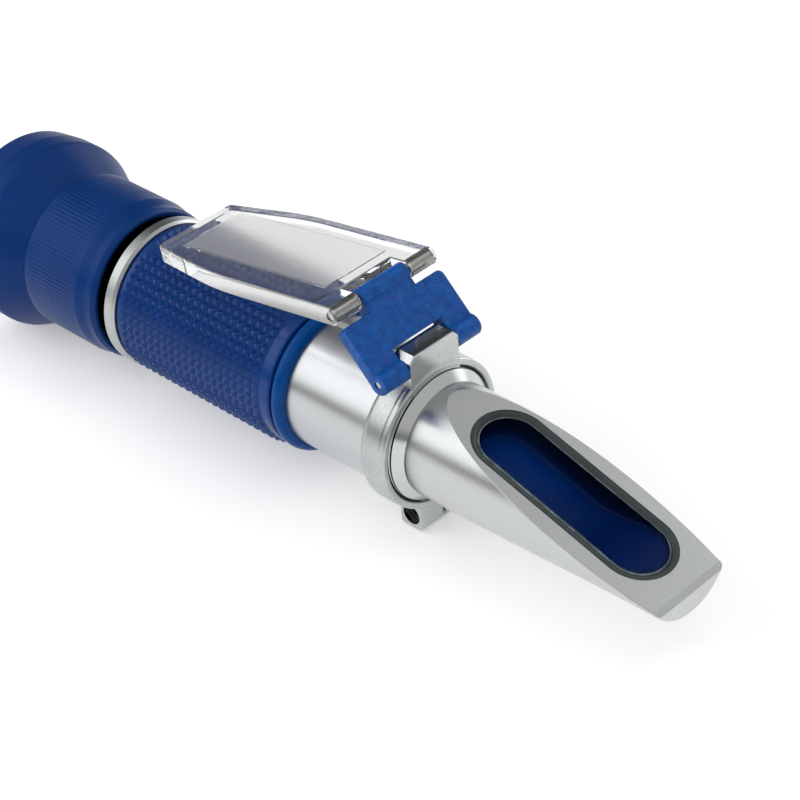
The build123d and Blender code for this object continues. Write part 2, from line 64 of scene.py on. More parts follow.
# The clear plate at rest: it runs back from the upper pin and falls towards its free end
UPPER_PIN = (SEAT - 12.0, 0.0, AXIS + 27.2)
PLATE_SLOPE = np.radians(9.8)
PLATE_ALONG = Vector((-np.cos(PLATE_SLOPE), 0.0, -np.sin(PLATE_SLOPE)))
PLATE_NORMAL = Vector((-np.sin(PLATE_SLOPE), 0.0, np.cos(PLATE_SLOPE)))
FIELD_START, FIELD_END = 6.2, 45.8   # the etched field, along the plate from the pin
FIELD_HALF_WIDTH = 7.3
FIELD_LEVEL = 1.85                   # over the pin, under the raised pad's surface

# Middles of the ejector marks on the front of the hinge link
LINK_MARKS = ((21.4, 0.15, 45.66), (26.25, 11.09, 40.81), (27.29, -8.24, 39.77))


# Shapes

def rounded(corners, radii, steps=6):
    """A closed outline with its corners rounded.

    Each corner gives way to an arc of its own radius that touches both sides: the arc's centre
    lies on the corner's bisector, radius / sin(half the corner's angle) away, and the arc's
    points turn evenly about that centre from one side to the other.
    """
    corners = np.asarray(corners, float)
    radii = np.broadcast_to(np.asarray(radii, float), len(corners))[:, None]
    back = np.roll(corners, 1, 0) - corners
    ahead = np.roll(corners, -1, 0) - corners
    back /= np.linalg.norm(back, axis=1, keepdims=True)
    ahead /= np.linalg.norm(ahead, axis=1, keepdims=True)
    half = np.arccos(np.clip((back * ahead).sum(1), -1, 1))[:, None] / 2
    middle = back + ahead
    middle /= np.linalg.norm(middle, axis=1, keepdims=True) + 1e-12
    centre = corners + middle * radii / np.sin(half)
    start = corners + back * radii / np.tan(half) - centre
    end = corners + ahead * radii / np.tan(half) - centre
    turn = np.pi - 2 * half
    t = np.linspace(0, 1, steps + 1)
    points = (
        centre[:, None]
        + np.sin((1 - t)[None, :, None] * turn[:, None]) / np.sin(turn)[:, None] * start[:, None]
        + np.sin(t[None, :, None] * turn[:, None]) / np.sin(turn)[:, None] * end[:, None]
    ).reshape(-1, 2)
    apart = np.linalg.norm(points - np.roll(points, 1, 0), axis=1) > 1e-4
    return points[apart]


def refined(outline, longest):
    """A closed outline with every side cut into equal parts no longer than asked."""
    ahead = np.roll(outline, -1, 0)
    parts = np.ceil(np.linalg.norm(ahead - outline, axis=1) / longest).astype(int)
    parts = np.maximum(parts, 1)
    side = np.repeat(np.arange(len(outline)), parts)
    share = (np.arange(parts.sum()) - np.repeat(np.cumsum(parts) - parts, parts)) / parts[side]
    return outline[side] + (ahead - outline)[side] * share[:, None]


def skin(name, grid, closed=(True, True), sharp=180.0):
    """A mesh object from a grid of points in millimetres, one quad per cell of the grid.

    closed says which of the grid's two directions run back into their start. The quads are
    turned outwards where the volume that they enclose, a sixth of the sum of the triple
    products of their corners, comes out negative. Edges sharper than sharp, in degrees, stay
    sharp in the shading.
    """
    rows, columns = grid.shape[:2]
    index = np.arange(rows * columns).reshape(rows, columns)
    if closed[0]:
        index = np.vstack([index, index[:1]])
    if closed[1]:
        index = np.hstack([index, index[:, :1]])
    quads = np.stack([index[:-1, :-1], index[1:, :-1], index[1:, 1:], index[:-1, 1:]], -1)
    quads = quads.reshape(-1, 4)
    points = grid.reshape(-1, 3)
    a, b, c, d = (points[quads[:, k]] - points.mean(0) for k in range(4))
    if ((a * np.cross(b, c)).sum() + (a * np.cross(c, d)).sum()) < 0:
        quads = quads[:, ::-1]
    mesh = bpy.data.meshes.new(name)
    mesh.from_pydata((points * MM).tolist(), [], quads.tolist())
    mesh.shade_smooth()
    if sharp < 180:
        mesh.set_sharp_from_angle(angle=np.radians(sharp))
    piece = bpy.data.objects.new(name, mesh)
    bpy.context.scene.collection.objects.link(piece)
    return piece


def sewn(piece, near):
    """Merges corners within near mm of each other, drops collapsed faces, turns faces outwards."""
    work = bmesh.new()
    work.from_mesh(piece.data)
    bmesh.ops.remove_doubles(work, verts=work.verts, dist=near * MM)
    bmesh.ops.recalc_face_normals(work, faces=work.faces)
    work.to_mesh(piece.data)
    work.free()
    return piece


def turned(name, outline, around, relief=None, sharp=180.0):
    """A round piece: a closed outline of (station, radius) carried round the optical axis.

    Point (i, j) lies at station s_i, at radius r_i + relief(s_i, r_i, angle_j), turned by
    angle_j from straight up.
    """
    angle = np.arange(around) * 2 * np.pi / around
    station = outline[:, :1] + 0 * angle
    radius = outline[:, 1:] + 0 * angle
    if relief is not None:
        radius = radius + relief(station, radius, angle[None, :])
    grid = np.stack([
        SEAT + station,
        radius * np.sin(angle),
        AXIS + radius * np.cos(angle),
    ], -1)
    return skin(name, grid, sharp=sharp)


def face_points(along, across, rise):
    """Points given on the measuring face: along it from the window's middle, across, above."""
    x = SEAT + WINDOW_STATION + along * np.cos(FACE_SLOPE) + rise * np.sin(FACE_SLOPE)
    height = AXIS + FACE_RISE - WINDOW_STATION * np.tan(FACE_SLOPE)
    z = height - along * np.sin(FACE_SLOPE) + rise * np.cos(FACE_SLOPE)
    return np.stack(np.broadcast_arrays(x, across, z), -1)


def oval(reach, ends=40, sides=60):
    """Points round the window's straight-sided oval, reach mm from its middle line.

    The oval is a slot of two half circles joined by straight lines. reach may be a column of
    reaches, which gives one oval for each; the result is (along, across) on the face.
    """
    half = (WINDOW_LENGTH - WINDOW_WIDTH) / 2
    front = np.linspace(-np.pi / 2, np.pi / 2, ends)
    turn = np.concatenate([
        front, np.full(sides, np.pi / 2), front + np.pi, np.full(sides, 3 * np.pi / 2),
    ])
    run = np.linspace(half, -half, sides + 2)[1:-1]
    middle = np.concatenate([np.full(ends, half), run, np.full(ends, -half), -run])
    return middle + reach * np.cos(turn), reach * np.sin(turn)


def round_window(name, section):
    """A closed section of (outwards, rise) carried round the window's edge."""
    along, across = oval(WINDOW_WIDTH / 2 + section[:, :1])
    return skin(name, face_points(along, across, section[:, 1:] + 0 * along))


# Nodes of a material

def linear(code):
    """An sRGB hex code as linear red, green, blue and alpha."""
    part = np.array([int(code[i:i + 2], 16) for i in (1, 3, 5)]) / 255
    part = np.where(part <= 0.04045, part / 12.92, ((part + 0.055) / 1.055) ** 2.4)
    return (*part.tolist(), 1.0)


def add(tree, kind, inputs=None, **settings):
    """Adds a node with its settings; an input is given a value or another node's output."""
    new = tree.nodes.new(kind)
    for key, value in settings.items():
        setattr(new, key, value)
    for key, value in (inputs or {}).items():
        if isinstance(value, bpy.types.NodeSocket):
            tree.links.new(value, new.inputs[key])
        else:
            new.inputs[key].default_value = value
    return new


def blank(name):
    """A new material with an empty node tree."""
    material = bpy.data.materials.new(name)
    material.use_nodes = True
    material.node_tree.nodes.clear()
    return material, material.node_tree


def principled(material, tree, inputs):
    """The material, its tree closed with a Principled shader that has these inputs."""
    shader = add(tree, "ShaderNodeBsdfPrincipled", inputs)
    add(tree, "ShaderNodeOutputMaterial", {"Surface": shader.outputs[0]})
    return material


def own_place(tree):
    """The surface's own coordinates, in metres."""
    return add(tree, "ShaderNodeTexCoord").outputs["Object"]


def noise(tree, place, size, detail, roughness=0.5):
    """Smooth noise from 0 to 1, its largest blotches about size mm across."""
    return add(tree, "ShaderNodeTexNoise", {
        "Vector": place, "Scale": 1 / (size * MM), "Detail": detail, "Roughness": roughness,
    }).outputs[0]


def calc(tree, operation, first, second):
    """Two numbers put through one Math operation."""
    return add(tree, "ShaderNodeMath", {0: first, 1: second}, operation=operation).outputs[0]


def dot(tree, place, direction):
    """How far place lies in a direction."""
    return add(tree, "ShaderNodeVectorMath", {
        0: place, 1: direction,
    }, operation="DOT_PRODUCT").outputs["Value"]


def ramp(tree, value, start, end, low=0.0, high=1.0, **settings):
    """low where value is at start, high where it is at end, and held there beyond."""
    return add(tree, "ShaderNodeMapRange", {
        "Value": value, "From Min": start, "From Max": end, "To Min": low, "To Max": high,
    }, **settings).outputs[0]


def mixed(tree, share, low, high):
    """A number that goes from low to high by share."""
    return add(tree, "ShaderNodeMix", {0: share, 2: low, 3: high}).outputs[0]


def tinted(tree, share, low, high, blend_type="MIX"):
    """A colour that goes from low to high by share; each is an sRGB code or an output.

    With the blend type MULTIPLY it is low, darkened by high.
    """
    low, high = (linear(end) if isinstance(end, str) else end for end in (low, high))
    return add(tree, "ShaderNodeMix", {
        0: share, 6: low, 7: high,
    }, data_type="RGBA", blend_type=blend_type).outputs[2]


def bumped(tree, height, strength, depth):
    """The normals of a surface that height, from 0 to 1, raises by depth mm."""
    return add(tree, "ShaderNodeBump", {
        "Height": height, "Strength": strength, "Distance": depth * MM,
    }).outputs[0]


# Materials

def turned_metal(name, light, dark, roughness, spread, line, depth):
    """Metal turned in a lathe: fine rings round the axis, line mm apart and depth mm deep.

    The roughness drifts by spread either way in a faint cloud.
    """
    material, tree = blank(name)
    place = own_place(tree)
    stretched = add(tree, "ShaderNodeMapping", {
        "Vector": place, "Scale": (1 / line, 1 / 9, 1 / 9),
    })
    rings = noise(tree, stretched.outputs[0], 1.0, 3.0, 0.6)
    cloud = noise(tree, place, 7.0, 4.0, 0.55)
    return principled(material, tree, {
        "Base Color": tinted(tree, rings, dark, light),
        "Metallic": 1.0,
        "Roughness": ramp(tree, cloud, 0.3, 0.7, roughness - spread, roughness + spread),
        "Normal": bumped(tree, rings, 0.35, depth),
    })


def blasted_metal(name, light, dark, roughness, grit, depth, start, weights, limit):
    """A casting blasted with grit, pits grit mm across, and then machined smooth in places.

    It is machined where the distance from start, each axis counted with its weight, is beyond
    limit: (1, 0, 0) gives a flat cut square to the axis and (0, 1, 1) a round one about it.
    """
    material, tree = blank(name)
    place = own_place(tree)
    pits = noise(tree, place, grit, 2.0, 0.7)
    cloud = noise(tree, place, 11.0, 3.0)
    level = ramp(tree, calc(tree, "ADD", pits, cloud), 0.65, 1.35)
    away = add(tree, "ShaderNodeVectorMath", {0: place, 1: Vector(start) * -MM})
    flat = add(tree, "ShaderNodeVectorMath", {
        0: away.outputs[0], 1: weights,
    }, operation="MULTIPLY")
    reach = add(tree, "ShaderNodeVectorMath", {0: flat.outputs[0]}, operation="LENGTH")
    milled = ramp(tree, reach.outputs["Value"], limit * MM, (limit + 0.15) * MM)
    blasted = ramp(tree, pits, 0.3, 0.7, roughness + 0.06, roughness - 0.06)
    return principled(material, tree, {
        "Base Color": tinted(tree, level, dark, light),
        "Metallic": 1.0,
        "Roughness": mixed(tree, milled, blasted, 0.17),
        "Normal": bumped(tree, pits, mixed(tree, milled, 0.5, 0.08), depth),
    })


def moulded(name, light, dark, roughness, grain, depth, specular):
    """A moulded plastic or rubber skin: fine grain, grain mm across, over a slow cloud."""
    material, tree = blank(name)
    place = own_place(tree)
    fine = noise(tree, place, grain, 3.0, 0.6)
    cloud = noise(tree, place, 6.0, 4.0, 0.6)
    return principled(material, tree, {
        "Base Color": tinted(tree, ramp(tree, cloud, 0.3, 0.7), dark, light),
        "Roughness": ramp(tree, fine, 0.3, 0.7, roughness - 0.05, roughness + 0.05),
        "Specular IOR Level": specular,
        "Normal": bumped(tree, fine, 0.4, depth),
    })


def moulded_link():
    """Polypropylene moulding: slow mottle, fine grain and three faint ejector marks.

    A mark is a round step with a soft edge. The height is the grain, two and a half times the
    mottle, and the marks.
    """
    material, tree = blank("polypropylene_moulded_blue")
    place = own_place(tree)
    mottle = noise(tree, place, 1.6, 5.0, 0.65)
    grain = noise(tree, place, 0.45, 2.0, 0.6)
    height = calc(tree, "ADD", grain, calc(tree, "MULTIPLY", mottle, 2.5))
    marks = 0.0
    for middle in LINK_MARKS:
        away = add(tree, "ShaderNodeVectorMath", {
            0: place, 1: Vector(middle) * MM,
        }, operation="DISTANCE").outputs["Value"]
        mark = ramp(tree, away, 1.2 * MM, 1.35 * MM, 1.2, 0.0)
        marks = calc(tree, "ADD", marks, mark)
    shade = tinted(tree, ramp(tree, mottle, 0.3, 0.7), "#013c80", "#065ab0")
    return principled(material, tree, {
        "Base Color": tinted(tree, calc(tree, "MULTIPLY", marks, 0.35), shade, "#2448a4"),
        "Roughness": ramp(tree, mottle, 0.35, 0.65, 0.42, 0.22),
        "Specular IOR Level": 0.22,
        "Normal": bumped(tree, calc(tree, "ADD", height, marks), 0.8, 0.1),
    })


def etched_field(tree, place):
    """1 on the plate's etched field and 0 off it.

    s runs along the plate from the upper pin and h square to it. On the field h is above
    FIELD_LEVEL, s between FIELD_START and FIELD_END and |y| under FIELD_HALF_WIDTH.
    """
    from_pin = add(tree, "ShaderNodeVectorMath", {
        0: place, 1: Vector(UPPER_PIN) * -MM,
    }).outputs[0]
    along = dot(tree, from_pin, PLATE_ALONG)
    height = dot(tree, from_pin, PLATE_NORMAL)
    side = add(tree, "ShaderNodeSeparateXYZ", {"Vector": place}).outputs["Y"]
    across = add(tree, "ShaderNodeMath", {0: side}, operation="ABSOLUTE").outputs[0]
    field = calc(tree, "GREATER_THAN", height, FIELD_LEVEL * MM)
    for operation, value, limit in (
        ("GREATER_THAN", along, FIELD_START),
        ("LESS_THAN", along, FIELD_END),
        ("LESS_THAN", across, FIELD_HALF_WIDTH),
    ):
        inside = calc(tree, operation, value, limit * MM)
        field = calc(tree, "MULTIPLY", field, inside)
    return field


def clear_acrylic():
    """Moulded acrylic: clear and faintly wavy, its etched field whitish, rough and fine-grained."""
    material, tree = blank("acrylic_moulded_clear")
    place = own_place(tree)
    field = etched_field(tree, place)
    flow = noise(tree, place, 3.0, 2.0)
    etch = noise(tree, place, 0.35, 2.0, 0.7)
    frost = tinted(tree, etch, "#f6f3f1", "#fffdfb")
    return principled(material, tree, {
        "Base Color": tinted(tree, field, "#fbfcfc", frost),
        "Roughness": mixed(tree, field, 0.02, 0.24),
        "IOR": 1.49,
        "Transmission Weight": mixed(tree, field, 0.965, 0.8),
        "Normal": bumped(tree, mixed(tree, field, flow, etch), 0.25, 0.05),
    })


def lens_glass():
    """Optical glass, polished, with a faint cool coating."""
    material, tree = blank("optical_glass_coated")
    cloud = noise(tree, own_place(tree), 8.0, 1.0)
    return principled(material, tree, {
        "Base Color": tinted(tree, cloud, "#e8f2f4", "#f6fafb"),
        "Roughness": 0.02,
        "IOR": 1.52,
        "Transmission Weight": 1.0,
    })


def prism_body():
    """The prism's walls, painted near-black as the shade of a deep well, and its blue bottom, seen
    through its top.

    The mesh carries an attribute that is 0 on the walls and 1 on the bottom; where it ramps between
    them, at the walls' foot and the bottom's edge, it paints a soft shade.
    """
    material, tree = blank("optical_glass_blue_backed")
    place = own_place(tree)
    forward = add(tree, "ShaderNodeSeparateXYZ", {"Vector": place}).outputs["X"]
    to_tip = ramp(
        tree, forward, (SEAT + 16) * MM, (SEAT + 42) * MM, interpolation_type="SMOOTHSTEP")
    blue = tinted(tree, to_tip, "#00347c", "#00205a")
    cloud = tinted(tree, noise(tree, place, 9.0, 3.0), "#b4b8c4", "#ffffff")
    clouded = tinted(tree, 1.0, blue, cloud, "MULTIPLY")
    bottom = add(tree, "ShaderNodeAttribute", attribute_name="bottom").outputs["Fac"]
    return principled(material, tree, {
        # The walls' near-black #0a1428 is painted shade of the deep well
        "Base Color": tinted(tree, bottom, "#0a1428", clouded),
        "Roughness": 0.35,
        "Specular IOR Level": 0.08,
    })


def prism_top():
    """The polished top of the prism: clear from above, a clean mirror at a glancing angle.

    Reflections under 3 % are left out, because they would only speckle the dark well below.
    """
    material, tree = blank("optical_glass_polished")
    cloud = noise(tree, own_place(tree), 12.0, 1.0)
    mirror = add(tree, "ShaderNodeBsdfGlossy", {
        "Color": tinted(tree, cloud, "#dfe6ee", "#f4f7fa"), "Roughness": 0.05,
    })
    through = add(tree, "ShaderNodeBsdfTransparent")
    fresnel = add(tree, "ShaderNodeFresnel", {"IOR": 1.09})
    glass = add(tree, "ShaderNodeMixShader", {
        0: ramp(tree, fresnel.outputs[0], 0.03, 1.0), 1: through.outputs[0], 2: mirror.outputs[0],
    })
    add(tree, "ShaderNodeOutputMaterial", {"Surface": glass.outputs[0]})
    return material


def ground_glass():
    """The prism's ground bevel: a dull grey line between glass and seal, lighter in patches."""
    material, tree = blank("optical_glass_ground_edge")
    chips = noise(tree, own_place(tree), 3.5, 4.0, 0.6)
    return principled(material, tree, {
        "Base Color": tinted(tree, ramp(tree, chips, 0.35, 0.65), "#333f48", "#76858b"),
        "Roughness": 0.4,
        "Specular IOR Level": 0.3,
    })


# Numbers of a turned metal: roughness, its spread, line and depth; of a blasted one: roughness,
# grit, depth and where it is machined; of a moulded one: roughness, grain, depth and specular
finish = {
    # Satin stainless tube: soft wide bands of light, with very fine rings round it
    "body_tube": turned_metal(
        "stainless_steel_satin_turned", "#c8cacc", "#c0c3c4", 0.30, 0.012, 0.16, 0.005),
    # Die-cast head, blasted so finely that its reflections melt; its neck is machined bright
    "prism_head": blasted_metal(
        "zinc_alloy_satin_blasted", "#c9cccc", "#c3c6c5", 0.31, 0.16, 0.002,
        (SEAT + 100, 0, 0), (1, 0, 0), 97.4),
    # Clamp casting: a sparkle of coarse pits on the ring, boss and lug machined smooth
    "clamp": blasted_metal(
        "zinc_alloy_coarse_blasted", "#ccd0cf", "#a6aaa9", 0.32, 0.3, 0.05,
        (0, 0, AXIS), (0, 1, 1), 15.0),
    # Ground and chromed pins: a small hard glint at each end of a hinge
    "steel_pins": turned_metal(
        "steel_pin_ground_chromed", "#c4c5bf", "#a9aaa4", 0.10, 0.03, 0.5, 0.008),
    # Blackened socket screw: the dark hole in the bright lug
    "steel_screw": turned_metal(
        "steel_screw_blackened", "#4a4b4c", "#2e2f30", 0.42, 0.06, 0.3, 0.02),
    # The prism's inside: walls painted near-black as the shade of the deep well, round a deep blue,
    # brightest at the rear
    "prism_glass": prism_body(),
    # Rubber of the seal: a dull, slightly green grey that frames the blue
    "prism_seal": moulded(
        "nitrile_rubber_seal", "#3c4443", "#2f3635", 0.42, 0.2, 0.01, 0.25),
    # The link: the brightest blue, its sheen broken up by the mottle
    "link_plastic": moulded_link(),
    # The daylight plate: bright edges, and a white field over the blue grip
    "clear_acrylic": clear_acrylic(),
    # The grip: dark blue rubber whose pyramids catch the light one flank at a time
    "grip_rubber": moulded(
        "thermoplastic_rubber_knurled", "#023a82", "#023474", 0.22, 0.3, 0.012, 0.26),
    # The bead: smoother and lighter than the grip, with one long highlight
    "bead_rubber": moulded(
        "silicone_rubber_glossy", "#004a90", "#003f82", 0.20, 0.4, 0.006, 0.12),
    # The trim ring: a pale line of light between the two blues
    "trim_bright": turned_metal(
        "aluminium_bright_turned", "#bfc4c3", "#aeb3b2", 0.36, 0.03, 0.18, 0.01),
    # Cells, retainers, baffle and bush: darkness wherever one can look in; also the ring of painted
    # shade in the clamp ring's groove
    "black_metal": turned_metal(
        "aluminium_black_anodised", "#26272a", "#17181a", 0.45, 0.05, 0.2, 0.02),
    # Lenses and scale disc: clear, seen from the eyecup's side only
    "lens_glass": lens_glass(),
    # The eyepiece's brass tube: a warm tone, hidden inside the skirt
    "brass_parts": turned_metal(
        "brass_turned", "#c9a860", "#a88a48", 0.30, 0.04, 0.15, 0.015),
    # The ribbed skirt: satin blue, a little duller than the link
    "skirt_plastic": moulded(
        "abs_moulded_ribbed_blue", "#003474", "#002f6c", 0.32, 0.25, 0.02, 0.13),
    # The eyecup: the same blue gone matt and soft
    "eyecup_rubber": moulded(
        "soft_rubber_matt_blue", "#003272", "#002e6a", 0.38, 0.18, 0.012, 0.12),
}


# Pieces that stand in for soft or detailed nodes

GRIP_FRONT, GRIP_REAR = -29.62, -72.88
GRIP_RADIUS = 14.57                    # at the foot of the pyramids
KNURL_FRONT, KNURL_REAR = -32.2, -71.7
KNURL_ROWS, KNURL_COUNT = 20, 49       # pyramids along and around
KNURL_STEPS = 8                        # of the mesh in each pyramid, either way
KNURL_HEIGHT = 0.78
KNURL_BLUNT = 0.8                      # a pyramid is cut off at this share of its height

BEAD_STATION = -28.0
BEAD_HALF_WIDTH, BEAD_HEIGHT = 1.5, 1.77

PRISM_RIM, PRISM_UNDERSIDE = -0.55, -5.95    # rises over the measuring face
WELL_REAR, WELL_TIP = 5.6, 1.0               # depths under the measuring face
WELL_FOOT = 0.2                              # from the walls' foot down to the bottom
WALL_ROWS, BOTTOM_ROWS = 8, 14

RIB_COUNT, RIB_DEPTH = 120, 0.08
RIBS_FRONT, RIBS_REAR, RIBS_FADE = -84.4, -98.4, 0.8
SKIRT_RADIUS = 16.4

# The focusing ring's neck, which holds the eyecup by a lip at its end
NECK_FRONT, LIP_FRONT, NECK_END = -99.6, -102.8, -104.0
NECK_RADIUS, LIP_RADIUS = 13.2, 13.8

# The clamp ring's front lip
LIP_REAR, LIP_NOSE = -0.9, 0.35
LIP_OUTSIDE, LIP_BORE = 14.72, 13.35


def knurl(station, radius, angle):
    """Rows of small four-sided pyramids with blunt tips.

    In a cell of the pattern a and b run from -1/2 to 1/2 along and around; the height is
    1 - 2 max(|a|, |b|), cut off at the blunt tip.
    """
    a = (station - KNURL_FRONT) / (KNURL_REAR - KNURL_FRONT) * KNURL_ROWS
    b = angle / (2 * np.pi) * KNURL_COUNT
    a = a - np.floor(a + 1e-6) - 0.5
    b = b - np.floor(b + 1e-6) - 0.5
    height = np.minimum(1 - 2 * np.maximum(np.abs(a), np.abs(b)), KNURL_BLUNT) / KNURL_BLUNT
    inside = (station < KNURL_FRONT) & (station > KNURL_REAR) & (radius > GRIP_RADIUS - 0.1)
    return np.where(inside, KNURL_HEIGHT * np.maximum(height, 0), 0.0)


def make_grip():
    """The soft sleeve: a plain tube with rounded ends, its outside raised by the knurl."""
    rows = np.linspace(KNURL_FRONT, KNURL_REAR, KNURL_ROWS * KNURL_STEPS + 1)
    front = rounded([
        (GRIP_FRONT, BARREL_RADIUS), (GRIP_FRONT, GRIP_RADIUS), (KNURL_FRONT, GRIP_RADIUS),
    ], [0, 0.5, 0])
    rear = rounded([
        (KNURL_REAR, GRIP_RADIUS), (GRIP_REAR, GRIP_RADIUS), (GRIP_REAR, BARREL_RADIUS),
    ], [0, 0.4, 0])
    foot = np.stack([rows, GRIP_RADIUS + 0 * rows], -1)
    outline = np.vstack([front[:-1], foot, rear[1:]])
    return turned("grip_sleeve_knurled", outline, KNURL_COUNT * KNURL_STEPS, knurl, 28.0)


def make_bead():
    """The round bead in front of the sleeve: half an oval with a flat seat on the barrel."""
    turn = np.linspace(0, np.pi, 25)
    station = BEAD_STATION + BEAD_HALF_WIDTH * np.cos(turn)
    radius = BARREL_RADIUS + BEAD_HEIGHT * np.sin(turn) ** 0.9
    return turned("front_bead_round", np.stack([station, radius], -1), 240)


def well_depth(along):
    """Depth of the prism's bottom: level at the rear, and up to the tip in a smooth step.

    With t from 0 to 1 over 16 mm the step is t * t * (3 - 2 t).
    """
    t = np.clip((along - 1.0) / 16.0, 0, 1)
    return WELL_REAR - (WELL_REAR - WELL_TIP) * t * t * (3 - 2 * t)


def make_prism():
    """The prism as a block with a well, a skin of ovals that each have their own reach.

    They run out along the underside, up the outside, over the rim, down the wall to its foot
    and in over the bottom, which follows well_depth.
    """
    edge = PRISM_WIDTH / 2 - 0.03
    inner = edge - 0.12
    inward = np.linspace(1, 0, BOTTOM_ROWS) ** 1.4
    reach = np.concatenate([[0, edge, edge], np.full(WALL_ROWS, inner), (inner - 0.25) * inward])
    along, across = oval(reach[:, None])
    depth = well_depth(along)
    walls = slice(3, 3 + WALL_ROWS)
    down = np.linspace(0, 1, WALL_ROWS)[:, None]
    rise = -depth
    rise[:2] = PRISM_UNDERSIDE
    rise[2] = PRISM_RIM
    rise[walls] = PRISM_RIM + (WELL_FOOT - depth[walls] - PRISM_RIM) * down
    piece = skin("main_prism_well", face_points(along, across, rise), (False, True))
    # 0 on the upper walls, rising to 1 over the walls' foot and the bottom's edge: a painted soft
    # shade where walls meet bottom
    bottom = np.clip((np.arange(len(reach)) - 6) / 7, 0, 1)[:, None] + 0 * along
    layer = piece.data.attributes.new("bottom", "FLOAT", "POINT")
    layer.data.foreach_set("value", bottom.ravel().astype(np.float32))
    return sewn(piece, 0.001)


def make_prism_top():
    """The prism's polished top: a thin oval sheet over the well."""
    edge = PRISM_WIDTH / 2 - 0.2
    reach = np.concatenate([edge * np.linspace(0, 1, 6), edge * np.linspace(1, 0, 6)])
    along, across = oval(reach[:, None])
    rise = np.repeat([-0.42, -0.3], 6)[:, None] + 0 * along
    return sewn(skin("main_prism_top", face_points(along, across, rise), (False, True)), 0.001)


def make_prism_edge():
    """The narrow ground bevel round the prism's top."""
    out = -SEAL_WIDTH - 0.05
    section = rounded([
        (out - 0.3, -0.6), (out, -0.6), (out, -0.5), (out - 0.16, -0.28), (out - 0.3, -0.28),
    ], 0.02, 2)
    return round_window("main_prism_edge", section)


def make_seal():
    """The rubber line round the prism, its upper corners soft."""
    inner = -SEAL_WIDTH - 0.05
    section = rounded([
        (inner, -2.5), (0.0, -2.5), (0.0, -0.12), (-0.75, -0.12), (inner, PRISM_RIM),
    ], [0, 0, 0.1, 0.15, 0.05])
    return round_window("prism_seal_line", section)


def make_ring_lip():
    """The clamp ring's rounded front lip."""
    outline = rounded([
        (LIP_REAR, LIP_OUTSIDE), (LIP_NOSE, LIP_OUTSIDE), (LIP_NOSE, LIP_BORE + 0.2),
        (0.0, LIP_BORE), (LIP_REAR, LIP_BORE),
    ], [0.1, 0.42, 0.18, 0.05, 0])
    return turned("clamp_ring_lip", refined(outline, 0.5), 256)


def make_ring_groove_shade():
    """A dark ring in the groove between ring and head, inside the lip: painted shade of the groove.
    """
    outline = rounded([(-0.39, 12.86), (-0.39, 13.34), (-0.2, 13.34), (-0.2, 12.86)], 0.05, 3)
    return turned("clamp_ring_groove_painted_shade", outline, 256)


def ribs(station, radius, angle):
    """Fine ribs along the skirt: a cosine wave cut into the surface, faded at both ends."""
    fade_front = np.clip((RIBS_FRONT - station) / RIBS_FADE, 0, 1)
    fade_rear = np.clip((station - RIBS_REAR) / RIBS_FADE, 0, 1)
    wave = 0.5 + 0.5 * np.cos(RIB_COUNT * angle)
    outside = radius > SKIRT_RADIUS - 0.2
    return np.where(outside, -RIB_DEPTH * fade_front * fade_rear * wave, 0.0)


def make_focus_ring():
    """The focusing ring: a skirt that curves in at its front, a web inside and a lipped neck."""
    outline = rounded([
        (-78.3, 14.5), (-78.3, 15.3), (-79.3, 15.85), (-81.0, 15.85), (-83.3, SKIRT_RADIUS),
        (NECK_FRONT, SKIRT_RADIUS), (NECK_FRONT, NECK_RADIUS), (LIP_FRONT, NECK_RADIUS),
        (LIP_FRONT, LIP_RADIUS), (NECK_END, LIP_RADIUS), (NECK_END, 12.2), (-95.5, 12.2),
        (-95.5, 9.8), (-94.0, 9.8), (-94.0, 12.45), (-84.0, 12.45), (-84.0, 14.5),
    ], [0.25, 0.35, 0.7, 2.5, 1.6, 0.8, 0, 0, 0.15, 0.15, 0.1, 0, 0.1, 0.1, 0, 0.2, 0])
    return turned("focus_ring_ribbed", refined(outline, 1.8), 6 * RIB_COUNT, ribs)


def make_eyecup():
    """The eyecup: a soft cone that flares to a round shoulder and ends in a rolled rim."""
    outline = rounded([
        (NECK_FRONT, 15.6), (NECK_FRONT, NECK_RADIUS), (LIP_FRONT, NECK_RADIUS),
        (LIP_FRONT, LIP_RADIUS), (NECK_END, LIP_RADIUS), (NECK_END, 9.0), (-105.6, 9.0),
        (-118.6, 17.9), (-118.6, 19.3), (-113.0, 20.0), (-108.6, 20.0),
    ], [0.3, 0, 0, 0, 0, 0.2, 0.5, 0.6, 0.6, 4.0, 3.0], 8)
    return turned("eyecup_soft", refined(outline, 0.8), 256)


def bevelled(name, source, width):
    """A copy of a CAD node with its sharp edges rounded by width mm."""
    piece = node[source].copy()
    piece.data = node[source].data.copy()
    piece.name = piece.data.name = name
    piece.parent = None
    piece.matrix_world = Matrix()
    bpy.context.scene.collection.objects.link(piece)
    sewn(piece, 0.002)
    work = bmesh.new()
    work.from_mesh(piece.data)
    bmesh.ops.dissolve_limit(
        work, angle_limit=np.radians(0.4), verts=work.verts, edges=work.edges)
    work.to_mesh(piece.data)
    work.free()
    piece.data.shade_smooth()
    piece.data.set_sharp_from_angle(angle=np.radians(32))
    round_off = piece.modifiers.new("edges", "BEVEL")
    round_off.width = width * MM
    round_off.segments = 2
    round_off.limit_method = "ANGLE"
    round_off.angle_limit = np.radians(35)
    round_off.harden_normals = True
    piece.data.materials.clear()
    return piece


